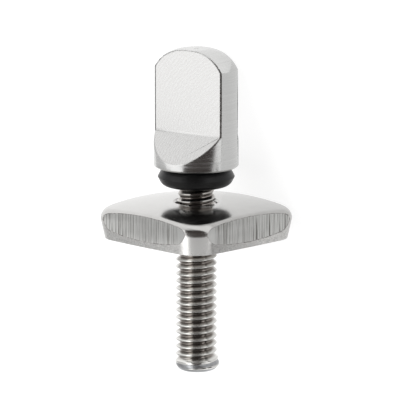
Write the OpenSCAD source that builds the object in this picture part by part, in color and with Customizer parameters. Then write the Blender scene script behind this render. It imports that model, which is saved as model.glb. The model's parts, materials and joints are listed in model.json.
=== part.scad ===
// Surfboard fin screw: a thumb-turned screw with a rubber ring under its head
// and a square plate nut that cannot run off the swollen end of the shank.
// The parts are drawn on the screw axis, with the crown of the plate at height 0
// and the head above it. The lay module then puts the whole on its side.

/* [Head] */
// Diameter of the turned head
head_d = 8.0; // [7:0.1:10]
// Height of the head from its seat to its end
head_h = 11.2; // [9:0.1:15]
// Thickness left between the two milled flats
flat_t = 2.82; // [2:0.02:4]
// Height above the seat at which the flats begin
flat_z = 3.3; // [3:0.1:5]
// Radius turned on the end of the head
end_r = 3.43; // [2.8:0.01:3.8]
// Radius of the plain disc left in the middle of the end
end_disc_r = 0.97; // [0.5:0.01:1.2]
// Chamfer round the seat
seat_chamfer = 0.15; // [0.05:0.01:0.4]
// Turn of the flats from the lower side of the plate
head_turn = 10.5; // [0:0.5:45]

/* [Shank] */
// Crest diameter of the metric thread
thread_d = 3.9; // [3.8:0.01:4]
// Pitch of the thread
pitch = 0.7; // [0.5:0.05:0.8]
// Diameter of the plain neck that the ring sits on
neck_d = 3.3; // [3:0.05:3.5]
// Length of the shank under the head
shank_l = 19.6; // [14:0.1:30]
// Diameter of the swollen end
swell_d = 4.2; // [4.1:0.02:4.6]
// Length of the swollen end
swell_l = 1.7; // [1.2:0.1:2.5]
// Offset of the swollen end from the axis
swell_shift = 0.12; // [0:0.01:0.2]

/* [Rubber ring] */
// Thickness of the cord of the ring
ring_cord = 1.86; // [1.5:0.02:2.2]
// Gap between the ring and the metal it sits on
ring_gap = 0.03; // [0.02:0.01:0.1]
// Height of the mould line that stands round the ring
ring_line = 0.08; // [0.04:0.01:0.15]

/* [Plate] */
// Thickness of the plate at its crown
plate_t = 3.45; // [2.5:0.05:5]
// Width across the bulging sides on the underside
side_w = 13.66; // [13.4:0.02:13.8]
// Distance of the four corner centres from the axis, along each side
corner_c = 4.42; // [4.4:0.01:4.5]
// Corner radius on the underside
corner_r = 2.34; // [2.32:0.01:2.42]
// Radius of the bulging sides on the underside
side_r = 120; // [100:5:150]
// Outward lean of the sides, from the underside up
side_lean = 12.5; // [5:0.5:15]
// Width across the sheared facets
facet_w = 13.9; // [13.6:0.05:14]
// Radius of the crowned top
crown_r = 30.5; // [20:0.5:45]
// Radius at which the top begins to fall away
crown_flat_r = 2.3; // [2.3:0.1:3.5]
// Radius rolled on the four upper corners
corner_roll = 0.95; // [0.7:0.05:1.2]
// Running gap between the thread crests and the hole
thread_gap = 0.06; // [0.04:0.01:0.1]
// Chamfer at both ends of the hole
hole_chamfer = 0.2; // [0.1:0.05:0.4]
// Height of the head seat above the crown of the plate
seat_z = 3.37; // [2.5:0.01:6]

/* [Lie] */
// Nose-down angle at which the screw comes to rest on plate and head
lie_tilt = 19.58; // [0:0.01:40]
// Roll about the screw axis at rest
lie_roll = 0; // [-45:0.01:45]
// Place of the crown centre along the length of the lying screw
lie_x = 0.808; // [-15:0.001:15]
// Place of the crown centre across the lying screw
lie_y = 0; // [-15:0.001:15]
// Height of the crown centre above the ground at rest
lie_z = 6.428; // [0:0.001:15]

/* [Hidden] */
$fn = 96;
head_r = head_d / 2;
thread_r = thread_d / 2;
neck_r = neck_d / 2;
ring_r = ring_cord / 2;
ring_mid_r = neck_r + ring_gap + ring_r;
ring_z = seat_z - ring_gap - ring_r;
neck_l = ring_cord + 2 * ring_gap;
shank_end_z = seat_z - shank_l;
swell_r = swell_d / 2;
swell_round = 0.8;
crest_w = pitch / 8;
root_w = pitch / 4;
flank_h = (pitch - crest_w - root_w) / 2;
root_r = thread_r - flank_h / tan(30);
thread_l = shank_l - neck_l - swell_l / 2;
ridges = floor(thread_l / pitch);
hole_r = thread_r + thread_gap;
lean = tan(side_lean);
corner_top = corner_c * sqrt(2) + corner_r + lean * plate_t;
roll_in = 0.03;
roll_base = corner_top - roll_in - corner_roll / cos(side_lean);
roll_off = roll_base - crown_flat_r;
roll_a = 1 + pow(lean, 2);
roll_b = lean * roll_off + crown_r;
roll_c = pow(roll_off, 2) + pow(crown_r, 2) - pow(crown_r - corner_roll, 2);
roll_z = (sqrt(pow(roll_b, 2) - roll_a * roll_c) - roll_b) / roll_a;
roll_x = roll_base + lean * roll_z;
over = 1;

// Turned outline of the head: seat chamfer, plain cylinder, large end radius
module head_outline() {
    difference() {
        polygon([
            [0, 0],
            [head_r - seat_chamfer, 0],
            [head_r, seat_chamfer],
            [head_r, head_h],
            [0, head_h]
        ]);
        translate([end_disc_r, head_h - end_r])
            difference() {
                square([head_r, end_r + over]);
                circle(r = end_r);
            }
    }
}

// Metal milled from one side of the head: the flat and its 45 degree run-out
module flat_cut() {
    rotate([90, 0, 0])
        linear_extrude(height = head_d + 2 * over, center = true)
            polygon([
                [flat_t / 2, flat_z],
                [flat_t / 2 + flat_z + over, -over],
                [flat_t / 2 + flat_z + over, head_h + over],
                [flat_t / 2, head_h + over]
            ]);
}

// Head with its two opposite flats, standing on its seat at height 0
module head() {
    difference() {
        rotate_extrude()
            head_outline();
        flat_cut();
        rotate([0, 0, 180])
            flat_cut();
    }
}

// One ridge of the thread, from its top flank to the root below it
function ridge(top) = [
    [root_r, top],
    [thread_r, top - flank_h],
    [thread_r, top - flank_h - crest_w],
    [root_r, top - 2 * flank_h - crest_w]
];

// Neck and thread, hanging from the seat. The ridges are rings one pitch apart
module shank() {
    rotate_extrude()
        union() {
            translate([0, -neck_l])
                square([neck_r, neck_l + over]);
            polygon([
                [0, -neck_l],
                for (k = [0:ridges - 1])
                    each ridge(-neck_l - k * pitch),
                [0, -neck_l - ridges * pitch + root_w]
            ]);
        }
}

// Swollen end: a short cone, a round lip and a flat end
module swollen_end() {
    rotate_extrude()
        union() {
            polygon([
                [0, 0],
                [swell_r - swell_round, 0],
                [swell_r, swell_round],
                [thread_r - 2 * swell_shift, swell_l],
                [0, swell_l]
            ]);
            intersection() {
                translate([swell_r - swell_round, swell_round])
                    circle(r = swell_round);
                square([swell_r, swell_round]);
            }
        }
}

module thumb_screw() {
    color([0.78, 0.78, 0.77])
        union() {
            translate([0, 0, seat_z])
                rotate([0, 0, head_turn])
                    head();
            translate([0, 0, seat_z])
                shank();
            rotate([0, 0, -45])
                translate([swell_shift, 0, shank_end_z])
                    swollen_end();
        }
}

module o_ring() {
    color([0.09, 0.09, 0.09])
        translate([0, 0, ring_z])
            rotate_extrude()
                translate([ring_mid_r, 0])
                    union() {
                        circle(r = ring_r);
                        translate([0, -ring_line])
                            square([ring_r + ring_line, 2 * ring_line]);
                    }
}

// One bulging, leaning side, as a wide cone about its far centre
module side_cone() {
    translate([side_w / 2 - side_r, 0, -plate_t - over])
        cylinder(
            h = plate_t + 2 * over,
            r1 = side_r - lean * over,
            r2 = side_r + lean * (plate_t + over),
            $fn = 360
        );
}

// Metal outside one round, leaning corner
module corner_cut() {
    translate([corner_c, corner_c, -plate_t])
        difference() {
            translate([0, 0, -over])
                cube([corner_c + corner_r, corner_c + corner_r, plate_t + 2 * over]);
            translate([0, 0, -2 * over])
                cylinder(
                    h = plate_t + 4 * over,
                    r1 = corner_r - 2 * lean * over,
                    r2 = corner_r + lean * (plate_t + 2 * over)
                );
        }
}

// Everything inside the roll of the upper corners, which touches wall and crown
module rolled_corner() {
    translate([0, -plate_t])
        square([roll_x, 2 * plate_t]);
    translate([0, -plate_t])
        square([roll_x + corner_roll * cos(side_lean), plate_t + roll_z - corner_roll * sin(side_lean)]);
    translate([roll_x, roll_z])
        circle(r = corner_roll);
}

// Envelope of the plate between its underside and its crowned top
module crown() {
    rotate_extrude()
        intersection() {
            union() {
                translate([0, -plate_t])
                    square([crown_flat_r, plate_t]);
                translate([crown_flat_r, -crown_r])
                    circle(r = crown_r);
            }
            rolled_corner();
        }
}

// Hole for the thread, with a chamfer at each end
module plate_hole() {
    rotate_extrude()
        polygon([
            [0, -plate_t - over],
            [hole_r + hole_chamfer + over, -plate_t - over],
            [hole_r, -plate_t + hole_chamfer],
            [hole_r, -hole_chamfer],
            [hole_r + hole_chamfer + over, over],
            [0, over]
        ]);
}

module fin_plate() {
    color([0.72, 0.72, 0.72])
        difference() {
            intersection() {
                crown();
                side_cone();
                rotate([0, 0, 90])
                    side_cone();
                rotate([0, 0, 180])
                    side_cone();
                rotate([0, 0, 270])
                    side_cone();
                cube([facet_w, facet_w, 4 * plate_t], center = true);
            }
            for (quarter = [0:3])
                rotate([0, 0, 90 * quarter])
                    corner_cut();
            plate_hole();
        }
}

// Lays the standing assembly on its side, head towards +X
module lay() {
    translate([lie_x, lie_y, lie_z])
        rotate([0, 90 + lie_tilt, 0])
            rotate([0, 0, lie_roll])
                children();
}

lay() thumb_screw();
lay() o_ring();
lay() fin_plate();
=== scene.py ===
# %% [markdown]
# # A fin screw that is turned by hand
#
# This screw holds the fin of a surfboard. It has three pieces: a stainless steel screw with a
# head for finger and thumb, a rubber ring on its neck, and a plate nut that slides in the fin
# box of the board. A screw can't stand unheld, so it lies on its side, and the camera looks
# down on it so that the head is at the top of the picture.
#
# The frame comes first. It brings in the CAD solids as they lie.

# %% Load the frame
import bpy
import bmesh
import json
from math import radians, degrees, sin, cos, tan, sqrt, asin, acos, atan2, pi
from mathutils import Matrix, Vector


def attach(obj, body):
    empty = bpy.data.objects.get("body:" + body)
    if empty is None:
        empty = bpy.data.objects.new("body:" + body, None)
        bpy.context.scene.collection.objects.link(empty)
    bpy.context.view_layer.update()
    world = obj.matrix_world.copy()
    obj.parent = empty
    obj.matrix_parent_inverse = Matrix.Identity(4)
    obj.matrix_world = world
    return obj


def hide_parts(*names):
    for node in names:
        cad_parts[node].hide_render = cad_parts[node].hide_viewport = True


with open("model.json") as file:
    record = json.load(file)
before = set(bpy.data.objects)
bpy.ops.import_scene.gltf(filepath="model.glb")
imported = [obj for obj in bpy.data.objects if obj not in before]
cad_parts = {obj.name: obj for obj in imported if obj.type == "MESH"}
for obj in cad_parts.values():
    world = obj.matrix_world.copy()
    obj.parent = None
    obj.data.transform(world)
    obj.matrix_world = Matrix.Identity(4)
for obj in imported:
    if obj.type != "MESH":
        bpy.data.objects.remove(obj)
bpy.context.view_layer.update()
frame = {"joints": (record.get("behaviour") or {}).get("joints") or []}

# %% [markdown]
# All three pieces are round about one axis, so they are easiest to draw standing up, in
# millimetres, with the axis on Z, the head up and the top of the plate at height 0. They
# could be drawn lying, but then every radius would need a turn. One matrix, read from the
# joint that the screw turns on, lays the standing pieces down where the solids lie.

# %% Lay a standing piece down
MM = 0.001
Z = Vector((0, 0, 1))
spindle = next(j for j in frame["joints"] if j["name"] == "screw_turn")
AXIS = Vector(spindle["axis"]).normalized()
ACROSS = Vector((0, 1, 0))
LEVEL = ACROSS.cross(AXIS)
TURN = Matrix((LEVEL, ACROSS, AXIS)).transposed()
LAY = Matrix.Translation(spindle["pos_m"]) @ TURN.to_4x4() @ Matrix.Scale(MM, 4)
print("nose down by", round(degrees(asin(-AXIS.z)), 2), "degrees")


def laid(bm, name, materials):
    """Lays a standing mesh down and makes it an object."""
    bmesh.ops.transform(bm, matrix=LAY, verts=bm.verts)
    bmesh.ops.recalc_face_normals(bm, faces=bm.faces)
    mesh = bpy.data.meshes.new(name)
    bm.to_mesh(mesh)
    bm.free()
    for m in materials:
        mesh.materials.append(m)
    obj = bpy.data.objects.new(name, mesh)
    bpy.context.scene.collection.objects.link(obj)
    print(name, "has", len(mesh.polygons), "faces")
    return obj


# %% [markdown]
# Materials come next. The photograph shows eight finishes on the steel and one on the rubber.
# Each could be a picture wrapped round the piece, but a few noise nodes give the same marks
# at any size. One small function adds a node with its settings and its links. It hands back
# the first output in use, so that the next node can be given it as an input.

# %% Colours and nodes
def linear(hexcode):
    """An sRGB colour such as 'c8c8c8' as linear red, green, blue and alpha."""
    parts = [int(hexcode[k:k + 2], 16) / 255 for k in (0, 2, 4)]
    return [p / 12.92 if p <= 0.04045 else ((p + 0.055) / 1.055) ** 2.4 for p in parts] + [1]


def add(tree, kind, inputs, **settings):
    """Adds a node, gives it its settings, and sets or links its inputs."""
    node = tree.nodes.new(kind)
    for key, value in settings.items():
        setattr(node, key, value)
    for key, value in inputs.items():
        if isinstance(value, bpy.types.NodeSocket):
            tree.links.new(value, node.inputs[key])
        else:
            node.inputs[key].default_value = value
    return next((out for out in node.outputs if out.enabled), None)


# %% [markdown]
# Tool marks follow the axis of the real screw, not the floor it lies on. So each pattern reads
# the Object coordinates of the lying piece through a Mapping node that turns them back into
# the standing frame, in millimetres. Every scale below is then one over a size in mm, and every
# depth is the height of the marks in mm.

# %% An empty material
STAND = LAY.inverted()
LOW, HIGH = 0.3, 0.7  # nearly all of a noise lies between these values


def new_material(name):
    """A material without nodes, and the standing position in mm to draw its patterns with."""
    m = bpy.data.materials.new(name)
    m.use_nodes = True
    tree = m.node_tree
    tree.nodes.clear()
    lying = add(tree, "ShaderNodeTexCoord", {}).node.outputs["Object"]
    at = add(tree, "ShaderNodeMapping", {
        "Vector": lying,
        "Location": STAND.to_translation(),
        "Rotation": STAND.to_euler(),
        "Scale": STAND.to_scale(),
    })
    return m, tree, at


# %% [markdown]
# The head and the neck are turned on a lathe. The tool leaves fine grooves round the axis.
# They could be modelled, but they are far thinner than a pixel, so a noise that is stretched
# round the axis changes the colour, the roughness and the slope of the surface a little.

# %% Turned steel
turned, tree, at = new_material("stainless steel, turned")
# Turned steel is bright, and its grooves smear each highlight out along the axis.
GROOVE = 0.11  # mm from groove to groove; the real feed of about 0.05 is too fine to show
ROUND = 6.5  # mm for which a groove keeps its depth
GROOVE_DEPTH = 0.0013
wide = add(tree, "ShaderNodeMapping", {
    "Vector": at, "Scale": (1 / ROUND, 1 / ROUND, 1 / GROOVE)})
grooves = add(tree, "ShaderNodeTexNoise", {
    "Vector": wide, "Scale": 1, "Detail": 4, "Roughness": 0.6})
part = add(tree, "ShaderNodeMapRange", {"Value": grooves, "From Min": LOW, "From Max": HIGH})
tint = add(tree, "ShaderNodeMix", {0: part, 6: linear("c7c7c6"), 7: linear("d0d0cf")},
           data_type="RGBA")
rough = add(tree, "ShaderNodeMapRange", {"Value": part, "To Min": 0.15, "To Max": 0.3})
bump = add(tree, "ShaderNodeBump", {"Height": grooves, "Distance": GROOVE_DEPTH * MM})
metal = add(tree, "ShaderNodeBsdfPrincipled", {
    "Base Color": tint, "Metallic": 1, "Roughness": rough, "Normal": bump})
add(tree, "ShaderNodeOutputMaterial", {"Surface": metal})
print(turned.name, "with", len(tree.nodes), "nodes")

# %% [markdown]
# The two flats are milled. A face mill leaves arcs that cross each other, and on the real
# screw they are so faint that the flats look white with a fine dapple. Rings from a wave
# texture, broken up by noise, draw the arcs.

# %% Milled steel
milled, tree, at = new_material("stainless steel, milled")
# Milled steel is flat and pale, and its crossing arcs show as a fine dapple.
ARC = 0.28  # mm from arc to arc; a real mill leaves about 0.1, too fine to show
DAPPLE = 0.24  # mm across one fleck
MILL = (3, 7, -6)  # mm from the middle of the mill to the top of the plate
MARK_DEPTH = 0.0005
off = add(tree, "ShaderNodeMapping", {"Vector": at, "Location": MILL})
arcs = add(tree, "ShaderNodeTexWave", {
    "Vector": off, "Scale": pi / (10 * ARC), "Distortion": 6, "Detail": 3, "Detail Scale": 1.6,
}, wave_type="RINGS", rings_direction="SPHERICAL").node.outputs["Fac"]
flecks = add(tree, "ShaderNodeTexNoise", {"Vector": at, "Scale": 1 / DAPPLE, "Detail": 3})
marks = add(tree, "ShaderNodeMath", {0: arcs, 1: flecks}, operation="MULTIPLY")
part = add(tree, "ShaderNodeMapRange", {"Value": marks, "From Min": 0.1, "From Max": 0.5})
tint = add(tree, "ShaderNodeMix", {0: part, 6: linear("cac9c8"), 7: linear("d4d4d3")},
           data_type="RGBA")
rough = add(tree, "ShaderNodeMapRange", {"Value": part, "To Min": 0.24, "To Max": 0.34})
bump = add(tree, "ShaderNodeBump", {"Height": marks, "Distance": MARK_DEPTH * MM})
metal = add(tree, "ShaderNodeBsdfPrincipled", {
    "Base Color": tint, "Metallic": 1, "Roughness": rough, "Normal": bump})
add(tree, "ShaderNodeOutputMaterial", {"Surface": metal})
print(milled.name, "with", len(tree.nodes), "nodes")

# %% [markdown]
# The thread is rolled between dies, and the crests come out bright and smooth. Down in the
# root the colour is darkened with painted shade. So the colour follows the distance from the
# axis, which is simpler than giving crest and root a material each.

# %% Rolled thread
rolled, tree, at = new_material("stainless steel, rolled thread")
# A rolled thread is the shiniest part of the screw: bright crests, and brown-grey roots darkened
# by painted shade.
FLOW = 0.2  # mm across one ripple of the metal, which flowed along the thread
LENGTH = 1.25  # mm along one ripple
# The painted shade in the root is full at the first radius and gone at the second.
ROOT_SHADE, CREST_UNSHADED = 1.6, 1.9  # mm from the axis
RIPPLE_DEPTH = 0.003
wide = add(tree, "ShaderNodeMapping", {
    "Vector": at, "Scale": (1 / LENGTH, 1 / LENGTH, 1 / FLOW)})
flow = add(tree, "ShaderNodeTexNoise", {
    "Vector": wide, "Scale": 1, "Detail": 3, "Roughness": 0.6})
level = add(tree, "ShaderNodeVectorMath", {0: at, 1: (1, 1, 0)}, operation="MULTIPLY")
radius = add(tree, "ShaderNodeVectorMath", {0: level}, operation="LENGTH")
# How far a point is out of the painted root shade: 0 in the root, 1 at the crest.
unshaded = add(tree, "ShaderNodeMapRange", {
    "Value": radius, "From Min": ROOT_SHADE, "From Max": CREST_UNSHADED})
tint = add(tree, "ShaderNodeMix", {0: unshaded, 6: linear("928c87"), 7: linear("dddcd9")},
           data_type="RGBA")
rough = add(tree, "ShaderNodeMapRange", {
    "Value": flow, "From Min": LOW, "From Max": HIGH, "To Min": 0.15, "To Max": 0.26})
bump = add(tree, "ShaderNodeBump", {"Height": flow, "Distance": RIPPLE_DEPTH * MM})
metal = add(tree, "ShaderNodeBsdfPrincipled", {
    "Base Color": tint, "Metallic": 1, "Roughness": rough, "Normal": bump})
add(tree, "ShaderNodeOutputMaterial", {"Surface": metal})
print(rolled.name, "with", len(tree.nodes), "nodes")

# %% [markdown]
# The plate nut was tumbled with small stones after stamping. Its top is smooth enough to
# mirror the screw, with slow waves like the peel of an orange. A soft noise in the slope of
# the surface is enough for those.

# %% Tumbled steel
tumbled, tree, at = new_material("stainless steel, tumbled")
# Tumbled steel mirrors what stands on it, a little blurred and a little wavy.
PEEL = 1.1  # mm across one wave
PEEL_DEPTH = 0.004
peel = add(tree, "ShaderNodeTexNoise", {
    "Vector": at, "Scale": 1 / PEEL, "Detail": 3, "Roughness": 0.6})
part = add(tree, "ShaderNodeMapRange", {"Value": peel, "From Min": LOW, "From Max": HIGH})
tint = add(tree, "ShaderNodeMix", {0: part, 6: linear("bdbcba"), 7: linear("c5c4c2")},
           data_type="RGBA")
rough = add(tree, "ShaderNodeMapRange", {"Value": part, "To Min": 0.13, "To Max": 0.2})
bump = add(tree, "ShaderNodeBump", {"Height": peel, "Distance": PEEL_DEPTH * MM})
metal = add(tree, "ShaderNodeBsdfPrincipled", {
    "Base Color": tint, "Metallic": 1, "Roughness": rough, "Normal": bump})
add(tree, "ShaderNodeOutputMaterial", {"Surface": metal})
print(tumbled.name, "with", len(tree.nodes), "nodes")

# %% [markdown]
# The leaning walls of the plate touched the die, and the tumbling didn't take its grain off.
# The grain runs in all directions, so plain noise draws it. Only at two opposite corners, which
# stood out a little more to the stones, is it worn off. How far a point lies towards those two
# is the sum of its two distances across the plate, whatever the sign of that sum.

# %% Stamped steel
def to_worn_corners(tree, at):
    """How far a point lies towards the two worn corners of the plate, in mm."""
    across = add(tree, "ShaderNodeVectorMath", {0: at, 1: (1, 1, 0)},
                 operation="DOT_PRODUCT").node.outputs["Value"]
    return add(tree, "ShaderNodeMath", {0: across}, operation="ABSOLUTE")


stamped, tree, at = new_material("stainless steel, stamped")
# Stamped steel is duller than the top, with a fine grain that scatters the light.
GRIT = 0.13  # mm across one grain
GRIT_DEPTH = 0.02
WORN_FROM, WORN_TO = 11.5, 12.3  # mm towards the worn corners
grit = add(tree, "ShaderNodeTexNoise", {
    "Vector": at, "Scale": 1 / GRIT, "Detail": 3, "Roughness": 0.7})
worn = add(tree, "ShaderNodeMapRange", {
    "Value": to_worn_corners(tree, at), "From Min": WORN_FROM, "From Max": WORN_TO})
EVEN = 0.5  # the value of the noise where the grain is worn off
grit = add(tree, "ShaderNodeMix", {0: worn, 2: grit, 3: EVEN})
part = add(tree, "ShaderNodeMapRange", {"Value": grit, "From Min": LOW, "From Max": HIGH})
tint = add(tree, "ShaderNodeMix", {0: part, 6: linear("abaaa8"), 7: linear("eae9e7")},
           data_type="RGBA")
rough = add(tree, "ShaderNodeMapRange", {"Value": worn, "To Min": 0.36, "To Max": 0.25})
bump = add(tree, "ShaderNodeBump", {"Height": grit, "Distance": GRIT_DEPTH * MM})
metal = add(tree, "ShaderNodeBsdfPrincipled", {
    "Base Color": tint, "Metallic": 1, "Roughness": rough, "Normal": bump})
add(tree, "ShaderNodeOutputMaterial", {"Surface": metal})
print(stamped.name, "with", len(tree.nodes), "nodes")

# %% [markdown]
# Where the punch sheared the sides of the plate it dragged scores down the metal. They run
# along the axis, so the noise is stretched that way. Towards the two worn corners the scores
# are worn off as well, so they fade in the same way as the grain of the walls.

# %% Sheared steel
sheared, tree, at = new_material("stainless steel, sheared")
# Sheared steel is grey, with dark upright scores that break up every reflection.
SCORE = 0.11  # mm across one score
DRAG = 8  # mm along one score
SCORE_DEPTH = 0.012
FADE_FROM, FADE_TO = 11.1, 11.8  # mm towards the worn corners
wide = add(tree, "ShaderNodeMapping", {
    "Vector": at, "Scale": (1 / SCORE, 1 / SCORE, 1 / DRAG)})
scores = add(tree, "ShaderNodeTexNoise", {
    "Vector": wide, "Scale": 1, "Detail": 4, "Roughness": 0.7})
fade = add(tree, "ShaderNodeMapRange", {
    "Value": to_worn_corners(tree, at), "From Min": FADE_FROM, "From Max": FADE_TO,
    "To Min": 1, "To Max": 0})
PLAIN = 0.56  # the value of the noise where there is no score
depth = add(tree, "ShaderNodeMix", {0: fade, 2: PLAIN, 3: scores})
DARK, BRIGHT = 0.4, 0.5  # values of the noise in a score and beside it
part = add(tree, "ShaderNodeMapRange", {"Value": depth, "From Min": DARK, "From Max": BRIGHT})
tint = add(tree, "ShaderNodeMix", {0: part, 6: linear("73706d"), 7: linear("ccccca")},
           data_type="RGBA")
rough = add(tree, "ShaderNodeMapRange", {"Value": part, "To Min": 0.45, "To Max": 0.32})
bump = add(tree, "ShaderNodeBump", {"Height": depth, "Distance": SCORE_DEPTH * MM})
metal = add(tree, "ShaderNodeBsdfPrincipled", {
    "Base Color": tint, "Metallic": 1, "Roughness": rough, "Normal": bump})
add(tree, "ShaderNodeOutputMaterial", {"Surface": metal})
print(sheared.name, "with", len(tree.nodes), "nodes")

# %% [markdown]
# Round the border of a facet the metal tore before it sheared. That leaves a ragged dark line,
# which is a narrow strip of faces in a darker finish. Noise breaks the line up.

# %% Torn steel
torn, tree, at = new_material("stainless steel, torn")
# Torn steel is rough and dark, with bright specks.
TEAR = 0.25  # mm along one tear
tears = add(tree, "ShaderNodeTexNoise", {"Vector": at, "Scale": 1 / TEAR, "Detail": 3})
part = add(tree, "ShaderNodeMapRange", {"Value": tears, "From Min": 0.35, "From Max": 0.65})
tint = add(tree, "ShaderNodeMix", {0: part, 6: linear("6a6764"), 7: linear("c0bebc")},
           data_type="RGBA")
rough = add(tree, "ShaderNodeMapRange", {"Value": part, "To Min": 0.5, "To Max": 0.35})
metal = add(tree, "ShaderNodeBsdfPrincipled", {
    "Base Color": tint, "Metallic": 1, "Roughness": rough})
add(tree, "ShaderNodeOutputMaterial", {"Surface": metal})
print(torn.name, "with", len(tree.nodes), "nodes")

# %% [markdown]
# The end of the shank was peened, which means struck until it spread. The hammer leaves a dull
# skin with shallow dents, so the noise is coarser than a grain and the metal is greyer.

# %% Peened steel
peened, tree, at = new_material("stainless steel, peened")
# Peened steel is grey and dull beside the bright thread.
DENT = 0.45  # mm across one dent
DENT_DEPTH = 0.01
dents = add(tree, "ShaderNodeTexNoise", {"Vector": at, "Scale": 1 / DENT, "Detail": 3})
part = add(tree, "ShaderNodeMapRange", {"Value": dents, "From Min": LOW, "From Max": HIGH})
tint = add(tree, "ShaderNodeMix", {0: part, 6: linear("98999b"), 7: linear("b2b3b5")},
           data_type="RGBA")
rough = add(tree, "ShaderNodeMapRange", {"Value": part, "To Min": 0.28, "To Max": 0.38})
bump = add(tree, "ShaderNodeBump", {"Height": dents, "Distance": DENT_DEPTH * MM})
metal = add(tree, "ShaderNodeBsdfPrincipled", {
    "Base Color": tint, "Metallic": 1, "Roughness": rough, "Normal": bump})
add(tree, "ShaderNodeOutputMaterial", {"Surface": metal})
print(peened.name, "with", len(tree.nodes), "nodes")

# %% [markdown]
# The ring is nitrile rubber, pressed in a mould. It is nearly black, and it has the soft sheen
# of a new moulding. The grain of the mould roughens the sheen a little.

# %% Moulded rubber
rubber, tree, at = new_material("nitrile rubber, moulded")
# Moulded rubber is black with one soft grey highlight.
GRAIN = 0.16  # mm across one grain
GRAIN_DEPTH = 0.008
grain = add(tree, "ShaderNodeTexNoise", {"Vector": at, "Scale": 1 / GRAIN, "Detail": 4})
part = add(tree, "ShaderNodeMapRange", {"Value": grain, "From Min": LOW, "From Max": HIGH})
tint = add(tree, "ShaderNodeMix", {0: part, 6: linear("0b0b0c"), 7: linear("161617")},
           data_type="RGBA")
rough = add(tree, "ShaderNodeMapRange", {"Value": part, "To Min": 0.28, "To Max": 0.4})
bump = add(tree, "ShaderNodeBump", {"Height": grain, "Distance": GRAIN_DEPTH * MM})
skin = add(tree, "ShaderNodeBsdfPrincipled", {
    "Base Color": tint, "Roughness": rough, "IOR": 1.52, "Specular IOR Level": 0.26,
    "Normal": bump})
add(tree, "ShaderNodeOutputMaterial", {"Surface": skin})
print(rubber.name, "with", len(tree.nodes), "nodes")

# %% [markdown]
# Most of the object is turned, so three helpers are used again and again: a row of edges in
# the plane y = 0, points on an arc in that plane, and one full spin round the axis. A spin
# leaves a seam and doubled points on the axis, so doubles are merged at once.

# %% Outlines and spins
TINY = 1e-5


def path(bm, points):
    """A row of edges through points (radius, height)."""
    verts = [bm.verts.new((r, 0, z)) for r, z in points]
    return [bm.edges.new(pair) for pair in zip(verts, verts[1:])]


def arc(cx, cz, r, start, end, steps):
    """Points on an arc, with its angles in degrees."""
    turns = [radians(start + (end - start) * k / steps) for k in range(steps + 1)]
    return [(cx + r * cos(a), cz + r * sin(a)) for a in turns]


def spin(bm, edges, steps):
    """Spins edges once round the axis, as on a lathe."""
    verts = list({v for e in edges for v in e.verts})
    bmesh.ops.spin(bm, geom=verts + edges, cent=(0, 0, 0), axis=Z, angle=2 * pi,
                   steps=steps, use_merge=True)
    bmesh.ops.remove_doubles(bm, verts=bm.verts, dist=TINY)


# %% [markdown]
# The head of the real screw is turned from 8 mm bar, with a large radius on its end and a
# small plain disc left in the middle. A cylinder with a bevel would come close, but the
# outline of the end isn't a plain bevel: the arc meets the side at a crease, which shows in
# the photograph. So the outline is drawn and spun, as a lathe does it.

# %% Turned head and neck
SEAT, HEAD_H, HEAD_R = 3.37, 11.2, 4.0
END_R, DISC_R = 3.43, 0.97
PIP_R, PIP_H = 0.25, 0.03
SEAT_CHAMFER = 0.15
NECK_R, NECK_END, TIP_R, TIP_Z = 1.65, 1.52, 1.4, 1.3
END_STEPS, HEAD_STEPS = 24, 128
top = SEAT + HEAD_H
crease = degrees(acos((HEAD_R - DISC_R) / END_R))

outline = [(0, top), (PIP_R - PIP_H, top), (PIP_R, top - PIP_H)]
outline += arc(DISC_R, top - END_R - PIP_H, END_R, 90, crease, END_STEPS)
outline += [(HEAD_R, SEAT + SEAT_CHAMFER), (HEAD_R - SEAT_CHAMFER, SEAT), (NECK_R, SEAT)]
outline += [(NECK_R, NECK_END), (TIP_R, TIP_Z), (0, TIP_Z)]
screw = bmesh.new()
spin(screw, path(screw, outline), HEAD_STEPS)
print("head", len(screw.faces), "faces, crease at", round(crease, 1), "degrees")

# %% [markdown]
# The two flats are milled: each cut takes one side of the head away and leaves through a slope
# at 45 degrees. A boolean could take the metal off, but two plane cuts give cleaner faces.
# They mark the limits on the mesh, the metal beyond both goes, and the wound is closed with
# one face for the flat and one for the slope.

# %% Mill one flat
FLAT, FLAT_Z, HEAD_TURN = 2.82 / 2, 3.3, 10.5
MILLED, ROLLED, PEENED = 1, 2, 3  # places of the finishes, after the turned one
NEAR, BEYOND = 1e-3, 1e-4  # mm from a plane for a point to lie on it, or beyond it


def mill(bm, side):
    """Cuts one flat, on the side of the head that points at the angle side."""
    out = Vector((cos(radians(side)), sin(radians(side)), 0))
    foot = out * FLAT + Z * (SEAT + FLAT_Z)
    planes = (out, (out + Z).normalized())
    for plane in planes:
        bmesh.ops.bisect_plane(bm, geom=bm.verts[:] + bm.edges[:] + bm.faces[:],
                               plane_co=foot, plane_no=plane, dist=TINY)
    gone = [f for f in bm.faces
            if all((f.calc_center_median() - foot).dot(plane) > BEYOND for plane in planes)]
    bmesh.ops.delete(bm, geom=gone, context="FACES")
    rim = [e for e in bm.edges if e.is_boundary]
    ends = [v for v in {v for e in rim for v in e.verts}
            if all(abs((v.co - foot).dot(plane)) < NEAR for plane in planes)]
    rim += bmesh.ops.contextual_create(bm, geom=ends)["edges"]
    made = []
    for plane in planes:
        loop = [e for e in rim if all(abs((v.co - foot).dot(plane)) < NEAR for v in e.verts)]
        made += bmesh.ops.contextual_create(bm, geom=loop)["faces"]
    for f in made:
        f.material_index = MILLED
    return made


# %% [markdown]
# The edges of the real flats are broken, because the screw is turned by hand. A bevel on the
# borders of the new faces does that. Its overlap is not clamped, since the short edges of the
# spun arc would otherwise hold it back to almost nothing.

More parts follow.
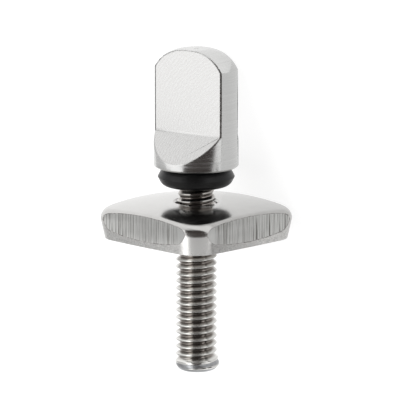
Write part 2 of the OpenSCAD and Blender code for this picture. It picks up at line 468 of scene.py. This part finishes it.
# %% Both flats and their edges
EDGE_R, EDGE_STEPS = 0.14, 3
faces = mill(screw, HEAD_TURN) + mill(screw, HEAD_TURN + 180)
borders = list({e for f in faces for e in f.edges})
bmesh.ops.bevel(screw, geom=borders, offset=EDGE_R, segments=EDGE_STEPS, profile=0.5,
                affect="EDGES", material=-1, offset_type="OFFSET", clamp_overlap=False)
print("flats and slopes", len(faces), "with", len(borders), "edges rounded")

# %% [markdown]
# The thread is a metric one with a pitch of 0.7 mm. The CAD solids carry it as rings one pitch
# apart. Here it is a true helix: one pitch of its outline is spun and raised by one pitch a
# turn, so each turn meets the next one. A Screw modifier could do the same, but the points
# are needed below, where the ends of the thread are shaped.
#
# Rolling leaves the crests round, and a round crest catches the light as a thin bright line.
# So the outline has an arc at its crest, with a straight flank on each side that touches it.

# %% Helical thread
PITCH, TURNS, STEPS = 0.7, 25, 64
CREST, ROOT, START = 1.95, 1.53, -16.64
FOOT_R = 1.55  # mm from the axis to where a flank begins
ROUND_R, FLANK, ROUND_STEPS = 0.085, 60, 8
flank_r = CREST - ROUND_R * (1 - cos(radians(FLANK)))
flank_z = PITCH / 2 - ROUND_R * sin(radians(FLANK))
foot_z = flank_z - (flank_r - FOOT_R) / tan(radians(FLANK))

ridge = [(ROOT, 0), (FOOT_R, foot_z)]
ridge += arc(CREST - ROUND_R, PITCH / 2, ROUND_R, -FLANK, FLANK, ROUND_STEPS)
ridge += [(FOOT_R, PITCH - foot_z), (ROOT, PITCH)]
thread = bmesh.new()
edges = path(thread, [(r, START + z) for r, z in ridge])
verts = list({v for e in edges for v in e.verts})
bmesh.ops.spin(thread, geom=verts + edges, cent=(0, 0, 0), axis=Z, angle=2 * pi * TURNS,
               steps=STEPS * TURNS, dvec=(0, 0, PITCH / STEPS))
bmesh.ops.remove_doubles(thread, verts=thread.verts, dist=1e-4)
print("thread", len(thread.faces), "faces in", TURNS, "turns")

# %% [markdown]
# A blow has spread the end of the shank into a rounded lip, a little to one side, so that the
# plate can't run off. The lip is spun like the head and then moved over. Its outline is also
# kept as a radius for each height, because the last turns of the thread lie on it.

# %% Lip of the swollen end
END_Z, LIP_R, BODY_R = -16.21, 0.78, 2.05
LIP_IN, LIP_Z = BODY_R - LIP_R, END_Z + LIP_R
THROAT = [(1.9, -15.2), (1.5, -14.95), (0, -14.95)]  # runs back into the thread, unseen
LIP_STEPS, END_SPOKES = 10, 96
SHIFT = Vector((1, -1, 0)).normalized() * 0.1


def lip_radius(height):
    """Radius of the lip at a height: an arc below its widest place, plain above."""
    below = min(max(LIP_Z - height, 0), LIP_R)
    return LIP_IN + sqrt(LIP_R ** 2 - below ** 2)


end = bmesh.new()
outline = [(0, END_Z)] + arc(LIP_IN, LIP_Z, LIP_R, -90, 0, LIP_STEPS) + THROAT
spin(end, path(end, outline), END_SPOKES)
bmesh.ops.translate(end, verts=end.verts, vec=SHIFT)
print("lip", len(end.faces), "faces, widest", BODY_R, "mm from its middle")

# %% [markdown]
# Under the ring the thread runs out into the neck. At the other end the blow has pressed the
# last turns into the lip, until only their crests stand out of it. Both are changes of
# radius with height, so they are made by moving the points of the finished helix. What would
# hang below the lip is cut off inside it.

# %% Run-out and swollen turns
RUN_FROM, RUN_TO, RUN_R = -0.6, 1.35, 1.62
SWELL_FROM, SWELL_TO = -14.6, -15.5
CREST_OUT, ROOT_IN = 0.1, 0.04  # mm that a crest rises from its root, and the root lies in
TAIL_FROM, TAIL_TO, CUT_Z = -15.75, -15.95, -16.05


def part_way(value, start, end):
    """How far value has come from start to end, from 0 to 1."""
    return min(max((value - start) / (end - start), 0), 1)


bmesh.ops.bisect_plane(thread, geom=thread.verts[:] + thread.edges[:] + thread.faces[:],
                       plane_co=(0, 0, CUT_Z), plane_no=-Z, dist=TINY, clear_outer=True)
for v in thread.verts:
    run = part_way(v.co.z, RUN_FROM, RUN_TO)
    swell = part_way(v.co.z, SWELL_FROM, SWELL_TO)
    rise = CREST_OUT * (1 - part_way(v.co.z, TAIL_FROM, TAIL_TO))
    r = v.co.xy.length
    pressed = lip_radius(v.co.z) - ROOT_IN + rise * part_way(r, ROOT, CREST) ** 2
    want = r + min(RUN_R - r, 0) * run + (pressed - r) * swell
    v.co.xy *= want / r
    v.co += SHIFT * swell
print("widest turn", round(max(v.co.xy.length for v in thread.verts), 3), "mm from the axis")

# %% [markdown]
# Head, thread and end are one bar of steel, so they become one object. Smooth shading with a
# sharp edge wherever two faces meet at a clear angle keeps turned surfaces round and the
# borders of the flats crisp. The milled faces are shaded flat, or they would look domed. The
# object takes the place of its CAD node and moves with it.

# %% Join the screw
def merge(bm, other, index):
    """Adds another mesh to bm, in the finish with that index."""
    for f in other.faces:
        f.material_index = index
    spare = bpy.data.meshes.new("spare")
    other.to_mesh(spare)
    other.free()
    bm.from_mesh(spare)
    bpy.data.meshes.remove(spare)


def sharp_by_angle(bm, limit):
    """Smooth shading, with a sharp edge where two faces meet at more than limit degrees."""
    bmesh.ops.recalc_face_normals(bm, faces=bm.faces)
    for f in bm.faces:
        f.smooth = True
    for e in bm.edges:
        e.smooth = e.calc_face_angle(0) < radians(limit)


merge(screw, thread, ROLLED)
merge(screw, end, PEENED)
sharp_by_angle(screw, 25)
for f in screw.faces:
    if len(f.verts) > 4:
        f.smooth = False
thumb_screw = laid(screw, "thumb_screw_piece", [turned, milled, rolled, peened])
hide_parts("thumb_screw")
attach(thumb_screw, "screw")

# %% [markdown]
# The rubber ring is a round cord, and the two halves of its mould met round the outside, where
# a thin line of rubber stands out. A torus would lack that line, so the section is drawn with
# a point at its outside, closed with one operator and spun.

# %% Rubber ring
CORD_R, RING_R, RING_Z = 0.9, 2.61, 2.41
LINE_OUT, LINE_HALF = 1.01, 27  # mm from the middle of the cord, degrees to each side
CORD_STEPS, RING_STEPS = 48, 128
ring = bmesh.new()
section = arc(RING_R, RING_Z, CORD_R, LINE_HALF, 360 - LINE_HALF, CORD_STEPS)
section += [(RING_R + LINE_OUT, RING_Z)]
edges = path(ring, section)
ends = [v for v in ring.verts if len(v.link_edges) == 1]
edges += bmesh.ops.contextual_create(ring, geom=ends)["edges"]
spin(ring, edges, RING_STEPS)
sharp_by_angle(ring, 40)
o_ring = laid(ring, "rubber_ring", [rubber])
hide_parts("o_ring")
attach(o_ring, "ring")

# %% [markdown]
# The plate nut is stamped: a square with slightly bulging sides that lean outwards from the
# underside up, round corners and a crowned top. A subdivided cube would give a pillow, but
# not these sizes. So its outline is worked out once, as a function of the angle round the
# axis and of the height, and rings of points are pulled up along it.
#
# Side arc and corner arc touch without a kink when their centres and the touching point are
# in line, which gives the place of the corner's centre.

# %% Wall of the plate
PLATE_T, SIDE, SIDE_R = 3.45, 13.66 / 2, 120
CORNER_R, LEAN = 2.3, tan(radians(12.5))
BOTTOM = -PLATE_T
FAR = Vector((SIDE - SIDE_R, 0, 0))
CORNER_C = (FAR.x + sqrt(2 * (SIDE_R - CORNER_R) ** 2 - FAR.x ** 2)) / 2


def reach(ray, centre, radius):
    """How far a ray from the axis goes before it leaves a circle."""
    b = ray.dot(centre)
    return b + sqrt(b * b - centre.length_squared + radius * radius)


def wall_point(angle, height):
    """Where the leaning wall stands, seen from the axis at angle degrees."""
    quarter = radians(round(angle / 90) * 90)
    a = radians(angle) - quarter
    grow = LEAN * (height - BOTTOM)
    ray = Vector((cos(a), sin(a), 0))
    point = ray * reach(ray, FAR, SIDE_R + grow)
    corner = Vector((CORNER_C, CORNER_C if a > 0 else -CORNER_C, 0))
    if abs(point.y) / (point.x - FAR.x) > CORNER_C / (CORNER_C - FAR.x):
        point = ray * reach(ray, corner, CORNER_R + grow)
    return Matrix.Rotation(quarter, 3, "Z") @ point + Z * height


print("corner centre", round(CORNER_C, 3), "mm along each side, corner",
      round(wall_point(45, BOTTOM).length, 2))

# %% [markdown]
# The crowned top falls away from a plain ring round the hole. Where it meets the wall there is
# a rim, and that rim is found by going to and fro between wall and crown until they agree.

# %% Crown and rim
CROWN_R, CROWN_FLAT, HOLE_R, CHAMFER = 30.5, 2.3, 2.01, 0.2
ROLL_ROOM = 1.2  # mm kept clear inside the rim for the roll that follows
FIRST_GUESS, ROUNDS = -0.8, 12  # mm for the height of the rim, times that it is bettered


def crown(r):
    """Height of the top at distance r from the axis."""
    return 0 if r < CROWN_FLAT else sqrt(CROWN_R ** 2 - (r - CROWN_FLAT) ** 2) - CROWN_R


def rim_point(angle):
    """Where the leaning wall meets the crowned top."""
    height = FIRST_GUESS
    for _ in range(ROUNDS):
        height = crown(wall_point(angle, height).xy.length)
    return wall_point(angle, height)


def ring_point(angle, r, height):
    """A point at distance r from the axis."""
    return Vector((r * cos(radians(angle)), r * sin(radians(angle)), height))


def top_point(angle, part):
    """A point on the top, part of the way from the hole (0) to the rolled rim (1)."""
    start = HOLE_R + CHAMFER
    r = start + (rim_point(angle).xy.length - ROLL_ROOM - start) * part
    return ring_point(angle, r, crown(r))


print("rim at a side", round(rim_point(0).z, 2), "mm, at a corner", round(rim_point(45).z, 2))

# %% [markdown]
# One circle is put on the underside of the wall. Its edges are then extruded row by row: up
# the wall, in over the top, down the hole, and a bridge along the underside closes the skin.

# %% Skin of the plate
SPOKES, TOP_ROWS = 360, 24
angles = [360 * k / SPOKES for k in range(SPOKES)]
rows = [[wall_point(t, BOTTOM) for t in angles], [rim_point(t) for t in angles]]
rows += [[top_point(t, 1 - k / TOP_ROWS) for t in angles] for k in range(TOP_ROWS)]
hole = [(HOLE_R + CHAMFER, 0), (HOLE_R, -CHAMFER),
        (HOLE_R, BOTTOM + CHAMFER), (HOLE_R + CHAMFER, BOTTOM)]
rows += [[ring_point(t, r, height) for t in angles] for r, height in hole]

plate = bmesh.new()
loop = bmesh.ops.create_circle(plate, segments=SPOKES, radius=1)["verts"]
loop.sort(key=lambda v: degrees(atan2(v.co.y, v.co.x)) % 360)
edges = underside = plate.edges[:]
row_edges = []
for row in rows:
    if row is not rows[0]:
        grown = bmesh.ops.extrude_edge_only(plate, edges=edges)["geom"]
        fresh = {g for g in grown if isinstance(g, bmesh.types.BMVert)}
        edges = [g for g in grown
                 if isinstance(g, bmesh.types.BMEdge) and fresh.issuperset(g.verts)]
        next_up = {e.other_vert(v): v for v in fresh for e in v.link_edges}
        loop = [next_up[v] for v in loop]
    for v, place in zip(loop, row):
        v.co = place
    row_edges.append(edges)
bmesh.ops.bridge_loops(plate, edges=underside + edges)
print("plate", len(plate.faces), "faces in", len(rows), "rows")

# %% [markdown]
# On the real plate the rim is rolled over, and the punch has left a lens-shaped facet on each
# side. The roll is a wide bevel with many steps. Each facet is a plane cut that takes the
# metal outside it away, and one face closes it.

# %% Rolled rim and sheared facets
ROLL, ROLL_STEPS, FACET = 0.97, 12, 13.9 / 2
bmesh.ops.bevel(plate, geom=row_edges[1], offset=ROLL, segments=ROLL_STEPS, profile=0.5,
                affect="EDGES", material=-1, offset_type="OFFSET", clamp_overlap=True)
facets = []
for quarter in range(4):
    out = Vector((cos(pi / 2 * quarter), sin(pi / 2 * quarter), 0))
    cut = bmesh.ops.bisect_plane(plate, geom=plate.verts[:] + plate.edges[:] + plate.faces[:],
                                 plane_co=out * FACET, plane_no=out, dist=1e-6, clear_outer=True)
    border = [e for e in cut["geom_cut"] if isinstance(e, bmesh.types.BMEdge)]
    facets += bmesh.ops.contextual_create(plate, geom=border)["faces"]
print("facets", len(facets), "with", [len(f.verts) for f in facets], "corners")

# %% [markdown]
# The torn border of a facet is a hair wide, and the sheared metal lies a little deeper. An
# inset of the facets with a small depth makes both. The four finishes are then handed out:
# the walls are told from the top by the way they face, and the rest is known by now.

# %% Torn borders and finishes
BORDER, SUNK, STEEP = 0.06, -0.015, 0.3
TUMBLED, SHEARED, STAMPED, TORN = range(4)
plate.normal_update()
borders = bmesh.ops.inset_individual(plate, faces=facets, thickness=BORDER, depth=SUNK,
                                     use_even_offset=True)["faces"]
plate.normal_update()
for f in plate.faces:
    f.material_index = STAMPED if abs(f.normal.z) < STEEP else TUMBLED
for f in facets:
    f.material_index = SHEARED
for f in borders:
    f.material_index = TORN
print("torn borders", len(borders), "faces")

sharp_by_angle(plate, 22)
fin_plate = laid(plate, "plate_nut", [tumbled, sheared, stamped, torn])
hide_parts("fin_plate")
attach(fin_plate, "plate")

# %% [markdown]
# The photograph was taken with the camera a little above the plate, looking along one of its
# corners, from far enough away that the edges of the flats stay parallel. The camera is placed
# from the screw: in front of it, raised towards the head, with a long lens.

# %% Camera
FRONT = TURN @ Vector((-1, -1, 0)).normalized()
RIGHT = TURN @ Vector((1, -1, 0)).normalized()
RISE, DISTANCE, LENS = 11.3, 450, 431
LOOK_UP, LOOK_RIGHT = 0.1, 0.35

middle = LAY @ Vector((0, 0, 0))
target = middle + (AXIS * LOOK_UP + RIGHT * LOOK_RIGHT) * MM
back = FRONT * cos(radians(RISE)) + AXIS * sin(radians(RISE))
up = AXIS * cos(radians(RISE)) - FRONT * sin(radians(RISE))
camera_data = bpy.data.cameras.new("camera")
camera_data.lens = LENS
camera_data.sensor_width = 36
camera_data.clip_start = 0.01
camera_data.clip_end = 5
camera = bpy.data.objects.new("camera", camera_data)
bpy.context.scene.collection.objects.link(camera)
axes = Matrix((RIGHT, up, back)).transposed().to_4x4()
camera.matrix_world = Matrix.Translation(target + back * DISTANCE * MM) @ axes
bpy.context.scene.camera = camera
print("camera at", [round(v * 1000) for v in camera.matrix_world.translation], "mm")

# %% [markdown]
# Polished steel shows its surroundings more than itself. A studio photographer hangs white
# and dark cards round it, and the same is done here: flat cards that give off a plain light,
# seen in mirror reflections alone. They could be lamps, but a lamp would also light the floor.
# Three small functions give the place of a card: facing the screw, beside the thread, or over
# the floor.

# %% Places for cards
def way(azimuth, elevation):
    """A direction from the screw: azimuth to the right of the camera, elevation to the head."""
    a, e = radians(azimuth), radians(elevation)
    return (FRONT * cos(a) + RIGHT * sin(a)) * cos(e) + AXIS * sin(e)


def sheet(centre, axes, wide, high):
    """The matrix of a card of that size in metres."""
    turn = Matrix(axes).transposed().to_4x4()
    return Matrix.Translation(centre) @ turn @ Matrix.Diagonal((wide, high, 1, 1))


def around(azimuth, elevation, distance, half_wide, half_high):
    """A card that faces the screw, with its half angles in degrees."""
    out, across = way(azimuth, elevation), way(azimuth + 90, 0)
    wide, high = (2 * distance * tan(radians(half)) for half in (half_wide, half_high))
    return sheet(middle + out * distance, (across, out.cross(across), out), wide, high)


def beside(front, x0, x1, z0, z1):
    """A card in front of the screw, in mm along the camera's right and along the axis."""
    centre = FRONT * front + RIGHT * (x0 + x1) / 2 + AXIS * (z0 + z1) / 2
    return sheet(middle + centre * MM, (RIGHT, AXIS, FRONT), (x1 - x0) * MM, (z1 - z0) * MM)


def over_floor(x0, x1, y0, y1):
    """A card that lies just over the floor, in mm."""
    centre = Vector((x0 + x1, y0 + y1, 0.1)) / 2 * MM
    return sheet(centre, Matrix.Identity(3), (x1 - x0) * MM, (y1 - y0) * MM)


# %% [markdown]
# A card glows evenly, or changes over its last part along its length, as a card does that
# curls away from the light.

# %% Make a card
CURL = 0.6  # part of the length that stays even


def card(name, place, colour, strength, end_strength=None):
    """A glowing card that only mirror reflections see."""
    bm = bmesh.new()
    bmesh.ops.create_grid(bm, x_segments=1, y_segments=1, size=0.5, matrix=place)
    mesh = bpy.data.meshes.new(name)
    bm.to_mesh(mesh)
    bm.free()
    m = bpy.data.materials.new(name)
    m.use_nodes = True
    tree = m.node_tree
    tree.nodes.clear()
    if end_strength:
        near, far = ((place @ Vector((0, side, 0))).y for side in (-0.5, 0.5))
        where = add(tree, "ShaderNodeTexCoord", {}).node.outputs["Object"]
        y = add(tree, "ShaderNodeSeparateXYZ", {0: where}).node.outputs[1]
        strength = add(tree, "ShaderNodeMapRange", {
            "Value": y, "From Min": near + CURL * (far - near), "From Max": far,
            "To Min": strength, "To Max": end_strength})
    glow = add(tree, "ShaderNodeEmission", {"Color": linear(colour), "Strength": strength})
    add(tree, "ShaderNodeOutputMaterial", {"Surface": glow})
    mesh.materials.append(m)
    obj = bpy.data.objects.new(name, mesh)
    bpy.context.scene.collection.objects.link(obj)
    obj.visible_camera = False
    obj.visible_diffuse = False
    obj.visible_shadow = False
    print(name, "is", [round(1000 * v) for v in obj.dimensions], "mm")


# %% [markdown]
# The light cards are on the left, high behind, and low beside the thread, as the bright flats,
# the bright end and the bright left side of the thread show. The dark ones are in front and
# low, where the photograph has dark streaks under the head, on the front corner of the plate
# and on the thread. A half-dark one beside them lets the streak under the head fade out. Two
# grey ones near the plate and over the floor tone its walls and the narrow side of the head.

# %% Cards
card("softbox_card", around(-60, 2, 0.5, 28, 40), "ffffff", 1.42)
card("high_card", around(-105, 55, 0.5, 30, 18), "ffffff", 1.05)
card("dark_flag", around(3, 14, 0.3, 42, 41), "4a4543", 1.0)
card("half_flag", around(54, 14, 0.3, 9, 41), "a8a4a2", 1.0)
card("low_flag", beside(25, -14, 18, -70, -30), "4a4644", 1.0)
card("low_light", beside(25, -40, -14, -70, -8), "ffffff", 2.2)
card("side_grey", around(-97, -30, 0.04, 28, 25), "ffffff", 0.6)
card("dark_floor", over_floor(-34, -4, -70, -20), "3c3836", 1.0)
card("grey_floor", over_floor(-40, 13, -20, 3), "ffffff", 0.83, 0.97)

# %% [markdown]
# The floor is white paper. It glows for the camera and for mirror and clear rays, so that the
# background is plain white, and it takes the shadow of the object as matt paper does. The
# glow could be left to brighter lamps, but those would also bleach the steel.

# %% Floor
GLOW, FLOOR_HALF = 0.8, 1.5
floor_bm = bmesh.new()
bmesh.ops.create_grid(floor_bm, x_segments=1, y_segments=1, size=FLOOR_HALF)
floor_mesh = bpy.data.meshes.new("floor")
floor_bm.to_mesh(floor_mesh)
floor_bm.free()
floor = bpy.data.objects.new("floor", floor_mesh)
bpy.context.scene.collection.objects.link(floor)
paper = bpy.data.materials.new("white paper, matt")
paper.use_nodes = True
tree = paper.node_tree
tree.nodes.clear()
rays = add(tree, "ShaderNodeLightPath", {}).node.outputs
seen = add(tree, "ShaderNodeMath", {0: rays["Is Camera Ray"], 1: rays["Is Glossy Ray"]},
           operation="ADD")
seen = add(tree, "ShaderNodeMath", {0: seen, 1: rays["Is Transmission Ray"]},
           operation="ADD", use_clamp=True)
strength = add(tree, "ShaderNodeMath", {0: seen, 1: GLOW}, operation="MULTIPLY")
glow = add(tree, "ShaderNodeEmission", {"Color": linear("ffffff"), "Strength": strength})
matt = add(tree, "ShaderNodeBsdfDiffuse", {"Color": linear("a0a0a0")})
both = add(tree, "ShaderNodeAddShader", {0: glow, 1: matt})
add(tree, "ShaderNodeOutputMaterial", {"Surface": both})
floor_mesh.materials.append(paper)
print("floor", FLOOR_HALF * 2, "m wide")

# %% [markdown]
# A pale even surround fills the shadows, and one soft lamp from the left gives the object its
# faint shadow on the right. The steel doesn't mirror the lamp, because the cards are there
# for that.

# %% Lamp and surround
SKY, LAMP_W, LAMP_AWAY = 0.75, 1.3, 0.5
world = bpy.data.worlds.new("studio")
bpy.context.scene.world = world
world.use_nodes = True
tree = world.node_tree
tree.nodes.clear()
sky = add(tree, "ShaderNodeBackground", {"Color": linear("ffffff"), "Strength": SKY})
add(tree, "ShaderNodeOutputWorld", {"Surface": sky})

lamp_data = bpy.data.lights.new("softbox", "AREA")
lamp_data.shape = "RECTANGLE"
lamp_data.size, lamp_data.size_y = 0.5, 0.6
lamp_data.energy = LAMP_W
lamp = bpy.data.objects.new("softbox", lamp_data)
bpy.context.scene.collection.objects.link(lamp)
aim = way(-70, 10)
aim_turn = aim.to_track_quat("Z", "Y").to_matrix().to_4x4()
lamp.matrix_world = Matrix.Translation(middle + aim * LAMP_AWAY) @ aim_turn
lamp.visible_glossy = False
bpy.context.scene.view_settings.view_transform = "Standard"
print("lamp", LAMP_W, "W")
